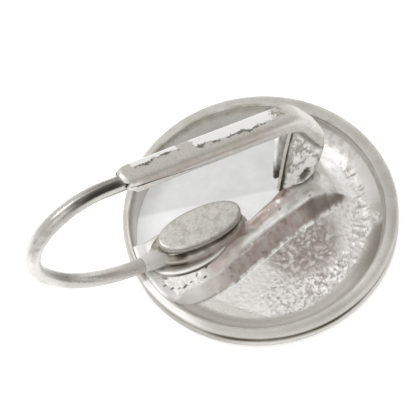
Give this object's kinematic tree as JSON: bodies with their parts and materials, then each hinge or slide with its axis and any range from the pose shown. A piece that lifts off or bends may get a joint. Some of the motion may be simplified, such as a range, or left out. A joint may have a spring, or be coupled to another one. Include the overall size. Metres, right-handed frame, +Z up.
{
  "type": "button earring",
  "caption": "Round button earring lying face down, with a bent ear wire, an oval tag and a hinged channel lever that closes over the wire's tip.",
  "frame": {"origin": "centre of the button's flat front face, which lies on the surface", "axes": "+Z up out of the back of the button, -X towards the wire's loop, +X towards the hinge, the finding in a plane parallel to X and Z"},
  "size_m": [0.0246, 0.018, 0.014],
  "materials": {
    "cast_silver": "polished rim, rough cast floor, silver",
    "wire_silver": "polished silver wire",
    "tag_silver": "satin silver, plain",
    "lever_silver": "satin silver with worn bright patches"
  },
  "bodies": {
    "button": {"button": "cast_silver", "ear_wire": "wire_silver", "tag": "tag_silver", "hinge_pin": "wire_silver"},
    "lever": {"lever": "lever_silver"}
  },
  "joints": [
    {"name": "lever_hinge", "type": "hinge", "parent": "button", "child": "lever", "pos_m": [0.0036, 0.0007, 0.00285], "axis": [0, 1, 0], "range_deg": [0, 60]}
  ]
}
